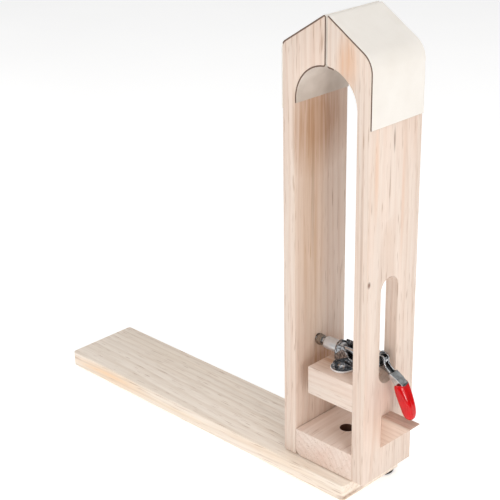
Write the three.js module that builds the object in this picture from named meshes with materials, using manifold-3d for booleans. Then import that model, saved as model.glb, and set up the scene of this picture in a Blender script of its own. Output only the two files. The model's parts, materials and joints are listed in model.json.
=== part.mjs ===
// Leather stitching pony: a plank base, a swivelling wooden yoke with two
// leather-faced jaws, and a push-pull toggle clamp that opens the left jaw.
// Millimetres, +Z up. The model is drawn about the swivel axis (x = y = 0) and
// the finished group is moved so that its origin is the centre of the footprint.
import * as THREE from "three";
import { mergeVertices } from "three/addons/utils/BufferGeometryUtils.js";
import Module from "manifold-3d";

const wasm = await Module();
wasm.setup();

// ---------- driving dimensions ----------
const JAW_WIDTH = 60;            // along Y, shared by jaws, blocks and leather
const JAW_THICKNESS = 12;
const JAW_GAP = 60;              // between the inner faces of the uprights
const INNER = JAW_GAP / 2;
const OUTER = INNER + JAW_THICKNESS;
const FOOT_HEIGHT = 3;
const PLANK_LENGTH = 342;
const PLANK_WIDTH = 72;
const PLANK_THICKNESS = 14;
const PLANK_END_X = INNER;          // plank end, measured from the swivel axis
const PLANK_SHIFT_Y = -3.6;      // plank centre line, measured from the swivel axis
const PLANK_CORNER = 3;
const SPACER = 1.5;              // washer between plank and yoke
const BLOCK_HEIGHT = 23.5;
const CLAMP_BLOCK_Z = 81;
const CLAMP_BLOCK_HEIGHT = 24;
const CLAMP_BLOCK_X = -16;
const ARCH_CENTRE_Z = 323.5;
const ROOF_TOP_Z = 389.9;        // wooden roof line extended to the middle
const ROOF_SLOPE = 0.64;
const TIP_ROUND = 0.4;
const SHOULDER_LEFT = 6.5;
const SHOULDER_RIGHT = 16.5;
const LEATHER = 1.2;
const LEATHER_GAP = 0.05;
const LEATHER_LOW_Z = 313.5;     // lower edge on the outer faces
const LEATHER_INNER_Z = 320;     // lower edge inside the left jaw
const TIP_GAP = 0.15;            // half of the gap between the closed leathers
const SLOT_WIDTH = 21;
const SLOT_LOW_Z = 101.3;
const SLOT_HIGH_Z = 192;
const REST_TOP_Z = 73;           // wooden rest under the handle
const REST_REACH = 29;
const REST_DROP = 29;
const REST_THICKNESS = 12;
const CLAMP_Y = -2.5;            // middle of clamp, slot and rest
const CLAMP_Z = 115;             // plunger axis
const BARREL_RADIUS = 5.25;
const ROD_RADIUS = 3;
const PIVOT = [33.5, 118];       // handle pivot
const CRANK = 5.7;               // pivot to crank pin
const CRANK_ANGLE = 35;          // degrees, handle down
const LINK = 20;                 // pin to pin
const HINGE = [-29.6, 20.6];     // axis of the left jaw
const HINGE_HALF = 20;
const KNUCKLE = 2;

const HALF = JAW_WIDTH / 2;
const PLANK_TOP = FOOT_HEIGHT + PLANK_THICKNESS;
const YOKE_Z = PLANK_TOP + SPACER;
const BLOCK_TOP = YOKE_Z + BLOCK_HEIGHT;
const CLAMP_SEAT = CLAMP_BLOCK_Z + CLAMP_BLOCK_HEIGHT;
const MEET_X = LEATHER + LEATHER_GAP + TIP_GAP;
const DEG = Math.PI / 180;

// ---------- materials ----------
const finish = {
  pine: { color: 0xe3cfb8, roughness: 0.62, metalness: 0 },
  leather: { color: 0xeee9e1, roughness: 0.7, metalness: 0 },
  zinc: { color: 0xb9bdc1, roughness: 0.28, metalness: 1 },
  bolt: { color: 0x5b4a3c, roughness: 0.45, metalness: 1 },
  vinyl: { color: 0xd9090f, roughness: 0.18, metalness: 0 },
  rubber: { color: 0x1d1c1b, roughness: 0.85, metalness: 0 },
};

const pony = new THREE.Group();
pony.name = "leather_stitching_pony";

function add(name, look, geometry) {
  geometry.computeVertexNormals();
  const mesh = new THREE.Mesh(geometry, new THREE.MeshStandardMaterial(finish[look]));
  mesh.name = name;
  pony.add(mesh);
}

function addToClamp(name, look, geometry) {
  add(name, look, geometry.translate(0, CLAMP_Y, 0));
}

// ---------- solids ----------
function toSolid(geometry) {
  const bare = geometry.clone();
  bare.deleteAttribute("normal");
  bare.deleteAttribute("uv");
  const welded = mergeVertices(bare, 1e-4);
  const index = welded.index.array;
  const kept = [];
  for (let i = 0; i < index.length; i += 3) {
    const [a, b, c] = [index[i], index[i + 1], index[i + 2]];
    if (a !== b && b !== c && c !== a) kept.push(a, b, c);
  }
  return new wasm.Manifold(new wasm.Mesh({
    numProp: 3,
    vertProperties: new Float32Array(welded.attributes.position.array),
    triVerts: new Uint32Array(kept),
  }));
}

function toGeometry(solid) {
  const mesh = solid.getMesh();
  const geometry = new THREE.BufferGeometry();
  geometry.setAttribute("position", new THREE.BufferAttribute(mesh.vertProperties, 3));
  geometry.setIndex(new THREE.BufferAttribute(mesh.triVerts, 1));
  return geometry.toNonIndexed();
}

function join(geometries) {
  const solids = geometries.map(toSolid);
  return toGeometry(solids.reduce((sum, next) => sum.add(next)));
}

function cut(geometry, tools) {
  const solids = tools.map(toSolid);
  return toGeometry(solids.reduce((rest, tool) => rest.subtract(tool), toSolid(geometry)));
}

const outline = (points) => new THREE.Shape(points.map(([u, v]) => new THREE.Vector2(u, v)));

// Outline in X and Z, extruded along Y between two values.
function acrossY(shape, low, high, curveSegments = 16) {
  const settings = { depth: high - low, bevelEnabled: false, curveSegments };
  return new THREE.ExtrudeGeometry(shape, settings).rotateX(Math.PI / 2).translate(0, high, 0);
}

// Outline in Y and Z, extruded along X.
function acrossX(shape, low, high, curveSegments = 16) {
  const settings = { depth: high - low, bevelEnabled: false, curveSegments };
  const geometry = new THREE.ExtrudeGeometry(shape, settings);
  return geometry.rotateX(Math.PI / 2).rotateZ(Math.PI / 2).translate(low, 0, 0);
}

// Outline in X and Y, extruded along Z.
function acrossZ(shape, low, high, curveSegments = 16) {
  const settings = { depth: high - low, bevelEnabled: false, curveSegments };
  return new THREE.ExtrudeGeometry(shape, settings).translate(0, 0, low);
}

function box(low, high) {
  const size = high.map((value, i) => value - low[i]);
  const middle = high.map((value, i) => (value + low[i]) / 2);
  return new THREE.BoxGeometry(...size).translate(...middle);
}

function rodX(radius, low, high, y, z, sides = 32) {
  const rod = new THREE.CylinderGeometry(radius, radius, high - low, sides);
  return rod.rotateZ(Math.PI / 2).translate((low + high) / 2, y, z);
}

function rodY(radius, low, high, x, z, sides = 24) {
  const rod = new THREE.CylinderGeometry(radius, radius, high - low, sides);
  return rod.translate(x, (low + high) / 2, z);
}

function rodZ(radius, low, high, x, y, sides = 32) {
  const rod = new THREE.CylinderGeometry(radius, radius, high - low, sides);
  return rod.rotateX(Math.PI / 2).translate(x, y, (low + high) / 2);
}

// Revolved outline of radius and height, turned so that height runs along +Z.
function turned(profile, sides = 32) {
  const points = profile.map(([radius, height]) => new THREE.Vector2(radius, height));
  return new THREE.LatheGeometry(points, sides).rotateX(Math.PI / 2);
}

function ringShape(radius, bore) {
  const shape = new THREE.Shape().absarc(0, 0, radius, 0, 2 * Math.PI);
  shape.holes.push(new THREE.Path().absarc(0, 0, bore, 0, 2 * Math.PI));
  return shape;
}

function hexShape(acrossFlats, bore) {
  const corner = acrossFlats / Math.sqrt(3);
  const points = [0, 1, 2, 3, 4, 5].map((i) => {
    const angle = (i + 0.5) * 60 * DEG;
    return [corner * Math.cos(angle), corner * Math.sin(angle)];
  });
  const shape = outline(points);
  shape.holes.push(new THREE.Path().absarc(0, 0, bore, 0, 2 * Math.PI));
  return shape;
}

function roundedRectangle(x0, y0, x1, y1, radius) {
  const shape = new THREE.Shape();
  shape.absarc(x1 - radius, y0 + radius, radius, -Math.PI / 2, 0);
  shape.absarc(x1 - radius, y1 - radius, radius, 0, Math.PI / 2);
  shape.absarc(x0 + radius, y1 - radius, radius, Math.PI / 2, Math.PI);
  shape.absarc(x0 + radius, y0 + radius, radius, Math.PI, 1.5 * Math.PI);
  shape.closePath();
  return shape;
}

// Points of an arc that rounds the corner between two straight lines.
function roundCorner(before, corner, after, radius, steps) {
  const p = new THREE.Vector2(...corner);
  const a = new THREE.Vector2(...before).sub(p).normalize();
  const b = new THREE.Vector2(...after).sub(p).normalize();
  const halfAngle = Math.acos(a.dot(b)) / 2;
  const middle = a.clone().add(b).normalize();
  const centre = p.clone().addScaledVector(middle, radius / Math.sin(halfAngle));
  const from = p.clone().addScaledVector(a, radius / Math.tan(halfAngle)).sub(centre);
  const to = p.clone().addScaledVector(b, radius / Math.tan(halfAngle)).sub(centre);
  const sweep = Math.atan2(from.x * to.y - from.y * to.x, from.dot(to));
  const points = [];
  for (let i = 0; i <= steps; i += 1) {
    const arm = from.clone().rotateAround(new THREE.Vector2(), (sweep * i) / steps);
    points.push([centre.x + arm.x, centre.y + arm.y]);
  }
  return points;
}

// Path moved sideways, to the right of its direction of travel.
function offsetPath(path, distance) {
  return path.map(([x, z], i) => {
    const last = path[Math.max(i - 1, 0)];
    const next = path[Math.min(i + 1, path.length - 1)];
    const arrive = i === 0 ? [next[0] - x, next[1] - z] : [x - last[0], z - last[1]];
    const leave = i === path.length - 1 ? arrive : [next[0] - x, next[1] - z];
    const unit = ([dx, dz]) => new THREE.Vector2(dz, -dx).normalize();
    const normal = unit(arrive).add(unit(leave)).normalize();
    const stretch = distance / normal.dot(unit(leave));
    return [x + normal.x * stretch, z + normal.y * stretch];
  });
}

// ---------- base: plank, feet and swivel bolt ----------
const plankY0 = PLANK_SHIFT_Y - PLANK_WIDTH / 2;
const plankY1 = PLANK_SHIFT_Y + PLANK_WIDTH / 2;
const plankX0 = PLANK_END_X - PLANK_LENGTH;
const BOLT_RADIUS = 3;
const NUT_POCKET = 6;
const plankBlank = acrossZ(
  roundedRectangle(plankX0, plankY0, PLANK_END_X, plankY1, PLANK_CORNER),
  FOOT_HEIGHT, PLANK_TOP, 6,
);
add("base_plank", "pine", cut(plankBlank, [
  rodZ(BOLT_RADIUS + 0.2, 0, PLANK_TOP + 1, 0, 0),
  rodZ(7.5, 0, FOOT_HEIGHT + NUT_POCKET, 0, 0),
]));

const FOOT_RADIUS = 10;
const FOOT_INSET = 19;
const footProfile = [
  [0, 0], [FOOT_RADIUS - 1.2, 0], [FOOT_RADIUS, 0.8], [FOOT_RADIUS, FOOT_HEIGHT], [0, FOOT_HEIGHT],
];
// Three pads are set in from the edges; the fourth sits in its corner.
const footPlaces = [
  ["foot_far_left", plankX0 + FOOT_INSET, plankY0 + FOOT_INSET],
  ["foot_far_right", plankX0 + FOOT_INSET, plankY1 - FOOT_INSET],
  ["foot_near_left", PLANK_END_X - FOOT_INSET, plankY0 + FOOT_INSET],
  ["foot_near_right", PLANK_END_X - FOOT_RADIUS - 0.2, plankY1 - FOOT_RADIUS - 0.2],
];
for (const [name, x, y] of footPlaces) {
  add(name, "rubber", turned(footProfile).translate(x, y, 0));
}

const HEAD_SEAT = BLOCK_TOP - 12;
const boltTop = HEAD_SEAT + 1.2;
const nutTop = FOOT_HEIGHT + NUT_POCKET;
const boltProfile = [
  [0, FOOT_HEIGHT + 0.4], [BOLT_RADIUS, FOOT_HEIGHT + 0.4], [BOLT_RADIUS, boltTop],
  [5, boltTop], [5, boltTop + 2.4], [4, boltTop + 3.6], [0, boltTop + 3.6],
];
const socket = new THREE.CylinderGeometry(2.4, 2.4, 4, 6).rotateX(Math.PI / 2);
socket.translate(0, 0, boltTop + 3.6);
add("swivel_bolt", "bolt", cut(turned(boltProfile), [socket]));
add("swivel_nut", "zinc", acrossZ(hexShape(10, BOLT_RADIUS + 0.05), nutTop - 5, nutTop));
add("swivel_spacer", "zinc", acrossZ(ringShape(12, BOLT_RADIUS + 0.2), PLANK_TOP, YOKE_Z));
add("swivel_washer", "zinc", acrossZ(ringShape(5.6, BOLT_RADIUS + 0.2), HEAD_SEAT, boltTop));

// ---------- yoke: lower block, clamp block, handle rest ----------
const LEAF = 1;                  // hinge leaf thickness
const LEAF_TOP = 38;
const SCREW_Z = 31;
const SCREW_Y = 12;
const blockX0 = -INNER + 0.6;
const BLOCK_ROUND = 6;
const blockShape = new THREE.Shape();
blockShape.moveTo(INNER, YOKE_Z);
blockShape.lineTo(INNER, BLOCK_TOP);
blockShape.lineTo(blockX0, BLOCK_TOP);
blockShape.lineTo(blockX0, YOKE_Z + BLOCK_ROUND);
blockShape.absarc(blockX0 + BLOCK_ROUND, YOKE_Z + BLOCK_ROUND, BLOCK_ROUND, Math.PI, 1.5 * Math.PI);

// Countersunk wood screw pointing along -Z with its head at z = 0.
function flatScrew(grow) {
  return turned([
    [0, -9 - grow], [0.5 + grow, -9 - grow], [1.2 + grow, -7], [1.2 + grow, -1.2],
    [2.2 + grow, -0.2], [2.2 + grow, grow * 0.5], [0, grow * 0.5],
  ], 20);
}
const blockScrew = (y, grow) => flatScrew(grow).rotateY(-Math.PI / 2).translate(blockX0, y, SCREW_Z);
const jawScrew = (y, grow) => flatScrew(grow).rotateY(Math.PI / 2).translate(-INNER, y, SCREW_Z);

const screwSides = [-SCREW_Y, SCREW_Y];
const leafEdge = HINGE_HALF + 0.1;
add("lower_block", "pine", cut(acrossY(blockShape, -HALF, HALF), [
  rodZ(6, HEAD_SEAT, BLOCK_TOP + 1, 0, 0),
  rodZ(BOLT_RADIUS + 0.2, YOKE_Z - 1, BLOCK_TOP, 0, 0),
  box([blockX0 - 1, -leafEdge, YOKE_Z - 1], [blockX0 + LEAF + 0.1, leafEdge, LEAF_TOP + 0.1]),
  rodY(KNUCKLE + 0.3, -leafEdge, leafEdge, ...HINGE),
  ...screwSides.map((y) => blockScrew(y, 0.05)),
]));

const SCREW_X = 5.4;
const LOBE_Y = 11;
const SHEET = 1.5;
function panScrew(grow) {
  return turned([
    [0, -12 - grow], [0.6 + grow, -12 - grow], [1.8 + grow, -9], [1.8 + grow, 0],
    [3.5 + grow, 0], [3.5 + grow, 1], [2.4, 2.1 + grow], [0, 2.3 + grow],
  ], 24);
}
const clampBlank = box([CLAMP_BLOCK_X, -HALF, CLAMP_BLOCK_Z], [INNER, HALF, CLAMP_SEAT]);
add("clamp_block", "pine", cut(clampBlank, [-LOBE_Y, LOBE_Y].map(
  (y) => panScrew(0.05).translate(SCREW_X, y + CLAMP_Y, CLAMP_SEAT + SHEET),
)));

const restShape = outline([
  [OUTER, REST_TOP_Z - REST_DROP], [OUTER + REST_REACH, REST_TOP_Z - 0.6],
  [OUTER + REST_REACH, REST_TOP_Z], [OUTER, REST_TOP_Z],
]);
addToClamp("handle_rest", "pine", acrossY(restShape, -REST_THICKNESS / 2, REST_THICKNESS / 2));

// ---------- jaws and their leather ----------
const roofZ = (x) => ROOF_TOP_Z - ROOF_SLOPE * x;
const archPoint = (angle) => [
  INNER * Math.cos(angle * DEG), ARCH_CENTRE_Z + INNER * Math.sin(angle * DEG),
];

// Upper part of a jaw, from the outer face over the tip and under the arch,
// drawn for the right jaw in X and Z.
function upperPath(shoulderRadius, archStop) {
  const low = [OUTER, LEATHER_LOW_Z];
  const shoulder = [OUTER, roofZ(OUTER)];
  const tip = [MEET_X, roofZ(MEET_X)];
  const archCorner = [MEET_X, archPoint(86.6)[1]];
  const path = [low];
  path.push(...roundCorner(low, shoulder, tip, shoulderRadius, 8));
  path.push(...roundCorner(shoulder, tip, archCorner, TIP_ROUND, 6));
  path.push(...roundCorner(tip, archCorner, archPoint(80), 1.5, 4));
  for (let angle = 80; angle >= archStop; angle -= 5) path.push(archPoint(angle));
  return path;
}

const mirrored = (points) => points.map(([x, z]) => [-x, z]);

function leatherShape(path) {
  const inside = offsetPath(path, LEATHER_GAP);
  const outside = offsetPath(path, LEATHER_GAP + LEATHER);
  return [...inside, ...outside.reverse()];
}

const rightUpper = upperPath(SHOULDER_RIGHT, 0);
const rightOutline = [[INNER, YOKE_Z], [OUTER, YOKE_Z], ...rightUpper.slice(1)];
const slotShape = new THREE.Shape();
slotShape.absarc(0, SLOT_HIGH_Z - SLOT_WIDTH / 2, SLOT_WIDTH / 2, 0, Math.PI);
slotShape.absarc(0, SLOT_LOW_Z + SLOT_WIDTH / 2, SLOT_WIDTH / 2, Math.PI, 2 * Math.PI);
slotShape.closePath();
add("right_jaw", "pine", cut(acrossY(outline(rightOutline), -HALF, HALF), [
  acrossX(slotShape, INNER - 2, OUTER + 2).translate(0, CLAMP_Y, 0),
]));
const rightWrap = upperPath(SHOULDER_RIGHT, 75);
add("right_leather", "leather", acrossY(outline(leatherShape(rightWrap)), -HALF, HALF));

const leftUpper = upperPath(SHOULDER_LEFT, 0);
const easedFoot = roundCorner([INNER, YOKE_Z], [OUTER, YOKE_Z], [OUTER, LEATHER_LOW_Z], 1.5, 3);
const leftOutline = mirrored([[INNER, YOKE_Z], ...easedFoot, ...leftUpper.slice(1)]);
const STUD_RADIUS = 2;
const JAW_HOLE = 3.6;
const JAW_HOLE_Z = CLAMP_Z + 0.9;
add("left_jaw", "pine", cut(acrossY(outline(leftOutline), -HALF, HALF), [
  rodX(JAW_HOLE, -OUTER - 1, -INNER + 1, CLAMP_Y, JAW_HOLE_Z),
  box([-INNER - LEAF - 0.05, -leafEdge, YOKE_Z - 1], [-INNER + 1, leafEdge, LEAF_TOP + 0.1]),
  rodY(KNUCKLE + 0.3, -leafEdge, leafEdge, ...HINGE),
  ...screwSides.map((y) => jawScrew(y, 0.05)),
]));
const leftWrap = [...leftUpper, [INNER, LEATHER_INNER_Z]];
add("left_leather", "leather", acrossY(outline(mirrored(leatherShape(leftWrap))), -HALF, HALF));

// ---------- hinge of the left jaw ----------
const knuckleEdges = [-20, -12, -4, 4, 12, 20];
const knuckleGap = 0.15;
function knuckles(first, radius, trim) {
  const parts = [];
  for (let i = first; i < 5; i += 2) {
    parts.push(rodY(radius, knuckleEdges[i] + trim, knuckleEdges[i + 1] - trim, ...HINGE));
  }
  return parts;
}
const PIN_RADIUS = 0.9;
function hingeLeaf(plateX, first, screwTool) {
  const plate = box([plateX, -HINGE_HALF, HINGE[1]], [plateX + LEAF, HINGE_HALF, LEAF_TOP]);
  const trimmed = cut(plate, knuckles(1 - first, KNUCKLE + 0.25, -knuckleGap));
  const leaf = join([trimmed, ...knuckles(first, KNUCKLE, knuckleGap)]);
  const bore = rodY(PIN_RADIUS + 0.08, -HINGE_HALF - 1, HINGE_HALF + 1, ...HINGE);
  return cut(leaf, [bore, ...screwSides.map((y) => screwTool(y, 0.05))]);
}
add("hinge_leaf_block", "zinc", hingeLeaf(blockX0, 0, blockScrew));
add("hinge_leaf_jaw", "zinc", hingeLeaf(-INNER - LEAF, 1, jawScrew));
add("hinge_pin", "zinc", rodY(PIN_RADIUS, -HINGE_HALF, HINGE_HALF, ...HINGE));
for (const [side, y] of [["front", -SCREW_Y], ["back", SCREW_Y]]) {
  add(`hinge_screw_block_${side}`, "zinc", blockScrew(y, 0));
  add(`hinge_screw_jaw_${side}`, "zinc", jawScrew(y, 0));
}

// ---------- toggle clamp: frame, barrel, screws ----------
const FRAME_INSIDE = 5.4;
const FRAME_OUTSIDE = FRAME_INSIDE + SHEET;
const EAR = 5.5;
const COLLAR_X = -6.5;
const BARREL_FRONT = -21;
const BARREL_REAR = -2;

const baseShape = new THREE.Shape();
baseShape.moveTo(COLLAR_X, FRAME_OUTSIDE);
baseShape.lineTo(COLLAR_X, -FRAME_OUTSIDE);
baseShape.absarc(SCREW_X, -LOBE_Y, 9.5, 190 * DEG, 345 * DEG);
baseShape.lineTo(16, -FRAME_OUTSIDE);
baseShape.lineTo(16, FRAME_OUTSIDE);
baseShape.absarc(SCREW_X, LOBE_Y, 9.5, 15 * DEG, 170 * DEG);

const sideShape = new THREE.Shape();
sideShape.moveTo(COLLAR_X, CLAMP_SEAT);
sideShape.lineTo(16, CLAMP_SEAT);
sideShape.lineTo(27, 110);
sideShape.absarc(...PIVOT, EAR, -70 * DEG, 120 * DEG);
sideShape.lineTo(24, 112.4);
sideShape.lineTo(9, 112.4);
sideShape.lineTo(3, 121);
sideShape.lineTo(COLLAR_X + 2, 121);
const sidePlate = (low, high) => acrossY(sideShape, low, high, 12);

const collarShape = new THREE.Shape();
collarShape.moveTo(-FRAME_OUTSIDE, CLAMP_SEAT);
collarShape.lineTo(FRAME_OUTSIDE, CLAMP_SEAT);
collarShape.absarc(0, CLAMP_Z, FRAME_OUTSIDE, 0, Math.PI);
const frameBlank = join([
  acrossZ(baseShape, CLAMP_SEAT, CLAMP_SEAT + SHEET, 12),
  sidePlate(-FRAME_OUTSIDE, -FRAME_INSIDE),
  sidePlate(FRAME_INSIDE, FRAME_OUTSIDE),
  acrossX(collarShape, COLLAR_X, COLLAR_X + 2.5),
]);
const RIVET_RADIUS = 1.8;
addToClamp("clamp_frame", "zinc", cut(frameBlank, [
  rodX(BARREL_RADIUS + 0.05, COLLAR_X - 1, COLLAR_X + 4, 0, CLAMP_Z),
  rodY(RIVET_RADIUS + 0.05, -10, 10, ...PIVOT),
  ...[-LOBE_Y, LOBE_Y].map((y) => rodZ(1.9, CLAMP_SEAT - 1, CLAMP_SEAT + 3, SCREW_X, y, 24)),
]));

const barrelBlank = rodX(BARREL_RADIUS, BARREL_FRONT, BARREL_REAR, 0, CLAMP_Z);
addToClamp("clamp_barrel", "zinc", cut(barrelBlank, [
  rodX(ROD_RADIUS + 0.1, BARREL_FRONT - 1, BARREL_REAR + 1, 0, CLAMP_Z),
]));

for (const [side, y] of [["front", -LOBE_Y], ["back", LOBE_Y]]) {
  const cross = [box([-2, -0.35, 0.9], [2, 0.35, 4]), box([-0.35, -2, 0.9], [0.35, 2, 4])];
  const screw = cut(panScrew(0), cross).rotateZ(35 * DEG);
  addToClamp(`clamp_screw_${side}`, "zinc", screw.translate(SCREW_X, y, CLAMP_SEAT + SHEET));
}

const RIVET_IN = 2.2;
const rivet = turned([
  [0, RIVET_IN], [RIVET_RADIUS, RIVET_IN], [RIVET_RADIUS, FRAME_OUTSIDE],
  [2.8, FRAME_OUTSIDE], [2.3, FRAME_OUTSIDE + 0.8], [0, FRAME_OUTSIDE + 1.1],
], 24);
for (const [side, turn] of [["front", Math.PI / 2], ["back", -Math.PI / 2]]) {
  addToClamp(`pivot_rivet_${side}`, "zinc", rivet.clone().rotateX(turn).translate(PIVOT[0], 0, PIVOT[1]));
}

// ---------- plunger, spindle and nuts ----------
const ROD_FRONT = -22.5;
const crankPin = [
  PIVOT[0] + CRANK * Math.cos(CRANK_ANGLE * DEG),
  PIVOT[1] + CRANK * Math.sin(CRANK_ANGLE * DEG),
];
const linkRise = crankPin[1] - CLAMP_Z;
const plungerPinX = crankPin[0] - Math.sqrt(LINK ** 2 - linkRise ** 2);
const linkAngle = Math.asin(linkRise / LINK);
const LINK_HALF = 1.5;
const SMALL_PIN = 1.25;
const rodRear = plungerPinX + 3.2;
const STUD_DEPTH = 9;
addToClamp("plunger_rod", "zinc", cut(rodX(ROD_RADIUS, ROD_FRONT, rodRear, 0, CLAMP_Z), [
  rodX(STUD_RADIUS + 0.05, ROD_FRONT - 1, ROD_FRONT + STUD_DEPTH, 0, CLAMP_Z, 24),
  box(
    [plungerPinX - 4.5, -LINK_HALF - 0.2, CLAMP_Z - 5],
    [rodRear + 1, LINK_HALF + 0.2, CLAMP_Z + 5],
  ),
  rodY(SMALL_PIN + 0.05, -5, 5, plungerPinX, CLAMP_Z),
]));
addToClamp("plunger_pin", "zinc", rodY(SMALL_PIN, -2.7, 2.7, plungerPinX, CLAMP_Z));

const NUT = 3.6;
const INNER_NUT = 5;
const NUT_PLAY = 0.95;           // lets the jaw tilt between the nuts
const innerNut = -INNER + NUT_PLAY;
const outerWasher = -OUTER - NUT_PLAY;
const WASHER = 1;
const studEnd = outerWasher - WASHER - NUT - 2;
const studNut = (low, high) => acrossX(hexShape(8, STUD_RADIUS + 0.05), low, high);
const outerNut = outerWasher - WASHER;
const studWasher = acrossX(ringShape(6, STUD_RADIUS + 0.1), outerWasher - WASHER, outerWasher);
addToClamp("spindle_stud", "zinc",
  rodX(STUD_RADIUS, studEnd, ROD_FRONT + STUD_DEPTH - 0.5, 0, CLAMP_Z, 24));
addToClamp("spindle_nut_inner", "zinc", studNut(innerNut, innerNut + INNER_NUT).translate(0, 0, CLAMP_Z));
addToClamp("spindle_washer", "zinc", studWasher.translate(0, 0, CLAMP_Z));
addToClamp("spindle_nut_outer", "zinc", studNut(outerNut - NUT, outerNut).translate(0, 0, CLAMP_Z));

// ---------- toggle link: an eye on the plunger pin, an open seat at the crank pin ----------
const linkShape = new THREE.Shape();
linkShape.absarc(0, 0, 2.7, 90 * DEG, 270 * DEG);
linkShape.lineTo(16, -3);
linkShape.lineTo(22.2, -3);
linkShape.lineTo(23.1, -1);
linkShape.lineTo(22.6, 0.8);
linkShape.absarc(LINK, 0, 1.6, -32 * DEG, -148 * DEG, true);
linkShape.lineTo(16.2, 2.7);
linkShape.holes.push(new THREE.Path().absarc(0, 0, SMALL_PIN + 0.1, 0, 2 * Math.PI));
const link = acrossY(linkShape, -LINK_HALF, LINK_HALF, 10).rotateY(-linkAngle);
addToClamp("toggle_link", "zinc", link.translate(plungerPinX, 0, CLAMP_Z));

// ---------- handle: lever, crank pin and vinyl grip ----------
const ARM_HALF = 3.2;
const NECK_HALF = 4.8;
const TANG_HALF = 3;
const FORK_RADIUS = 15.5;        // reach of the gap between the two cheeks
const neckPoints = [
  [47.2, 109.9], [50.2, 106.6], [53.2, 103.1], [55.8, 99.6], [61.2, 102.6], [59.6, 106.6],
  [55, 109.7], [50.5, 111.9], [47.8, 113],
];
const tangPoints = [
  [54.5, 102], [57, 97], [60.2, 90.5], [63, 84], [66.4, 85.4], [64.6, 92], [62, 99], [60, 104],
];
const armShape = new THREE.Shape();
armShape.absarc(...PIVOT, 4.8, 140 * DEG, 250 * DEG);
armShape.quadraticCurveTo(41.4, 114.2, 44.4, 111.4);
armShape.lineTo(48.2, 108.8);
armShape.lineTo(49.4, 112.2);
armShape.quadraticCurveTo(42.4, 114.2, 41.2, 120.2);
armShape.absarc(...crankPin, 3.3, -15 * DEG, 125 * DEG);
const leverBlank = join([
  acrossY(armShape, -ARM_HALF, ARM_HALF, 10),
  acrossY(outline(neckPoints), -NECK_HALF, NECK_HALF),
  acrossY(outline(tangPoints), -TANG_HALF, TANG_HALF),
]);
addToClamp("lever", "zinc", cut(leverBlank, [
  rodY(FORK_RADIUS, -LINK_HALF - 0.4, LINK_HALF + 0.4, ...PIVOT, 40),
  rodY(RIVET_RADIUS + 0.08, -10, 10, ...PIVOT),
  rodY(SMALL_PIN + 0.05, -10, 10, ...crankPin),
]));
addToClamp("crank_pin", "zinc", rodY(SMALL_PIN, -ARM_HALF, ARM_HALF, ...crankPin));

// Grip stations: centre x and z, half depth across the handle, half width in Y.
const gripStations = [
  [57, 104.2, 5.3, 6.1], [57.6, 103, 6, 6.6], [59.6, 98.6, 6.8, 6.9], [61.8, 93.2, 7, 6.8],
  [63.8, 87.8, 6.6, 6.4], [65.4, 83, 5.8, 5.8], [66.5, 79.4, 4.7, 4.8], [67.2, 77, 3.3, 3.5],
  [67.5, 75.6, 1.3, 1.6],
];
function gripBody() {
  const sides = 24;
  const positions = [];
  const index = [];
  gripStations.forEach(([x, z, deep, wide], i) => {
    const last = gripStations[Math.max(i - 1, 0)];
    const next = gripStations[Math.min(i + 1, gripStations.length - 1)];
    const along = new THREE.Vector2(next[0] - last[0], next[1] - last[1]).normalize();
    for (let k = 0; k < sides; k += 1) {
      const angle = (2 * Math.PI * k) / sides;
      const across = deep * Math.cos(angle);
      positions.push(x - along.y * across, wide * Math.sin(angle), z + along.x * across);
    }
  });
  const rings = gripStations.length;
  for (let i = 0; i < rings - 1; i += 1) {
    for (let k = 0; k < sides; k += 1) {
      const [a, b] = [i * sides + k, i * sides + ((k + 1) % sides)];
      index.push(a, a + sides, b, b, a + sides, b + sides);
    }
  }
  for (const [ring, flip] of [[0, false], [rings - 1, true]]) {
    for (let k = 1; k < sides - 1; k += 1) {
      const [a, b, c] = [ring * sides, ring * sides + k, ring * sides + k + 1];
      index.push(...(flip ? [a, c, b] : [a, b, c]));
    }
  }
  const body = new THREE.BufferGeometry();
  body.setAttribute("position", new THREE.Float32BufferAttribute(positions, 3));
  body.setIndex(index);
  return body;
}
const GRIP_GAP = 0.1;
const pocketNeck = offsetPath(neckPoints, GRIP_GAP);
const pocketTang = offsetPath([...tangPoints, ...tangPoints.slice(0, 2)], GRIP_GAP).slice(1, -1);
addToClamp("grip", "vinyl", cut(gripBody(), [
  acrossY(outline(pocketNeck), -NECK_HALF - GRIP_GAP, NECK_HALF + GRIP_GAP),
  acrossY(outline(pocketTang), -TANG_HALF - GRIP_GAP, TANG_HALF + GRIP_GAP),
]));

// ---------- origin: centre of the footprint, on the floor ----------
const restEnd = OUTER + REST_REACH;
pony.position.set(-(plankX0 + restEnd) / 2, -PLANK_SHIFT_Y, 0);
pony.updateMatrixWorld(true);

export default pony;
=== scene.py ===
import json
import math

import bmesh
import bpy
from mathutils import Euler, Matrix, Vector, noise

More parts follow.
